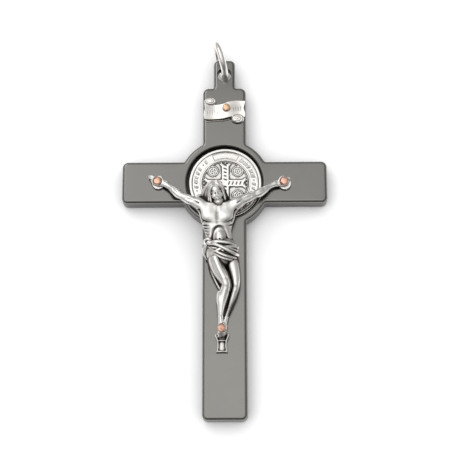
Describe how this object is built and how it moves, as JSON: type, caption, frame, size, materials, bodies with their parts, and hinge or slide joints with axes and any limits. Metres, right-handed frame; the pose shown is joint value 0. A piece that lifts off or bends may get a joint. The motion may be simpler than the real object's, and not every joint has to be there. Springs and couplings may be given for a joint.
{
  "type": "crucifix pendant",
  "caption": "Flat dark metal crucifix pendant with a round medal set into the crossing, a cast silver-coloured figure, a scroll plate, copper rivets and a jump ring.",
  "frame": {"origin": "centre of the crossing, on the flat plane of the back", "axes": "+Z out of the front face, +Y along the upright towards the jump ring, +X to the right seen from the front"},
  "size_m": [0.0424, 0.0798, 0.0091],
  "materials": {
    "plate": "smooth gunmetal plating, slightly warm grey, semi-gloss",
    "medal": "bright silver-coloured, with darkened ground in the relief",
    "figure": "antique silver, bright on the high points and nearly black in the hollows",
    "scroll": "warm off-white silver, satin",
    "rivets": "plain copper, satin",
    "ring": "polished steel wire"
  },
  "bodies": {
    "root": {"cross": "plate", "medal": "medal", "corpus": "figure", "scroll": "scroll", "rivet_scroll": "rivets", "rivet_hand_left": "rivets", "rivet_hand_right": "rivets", "rivet_feet": "rivets", "jump_ring": "ring"}
  },
  "joints": []
}
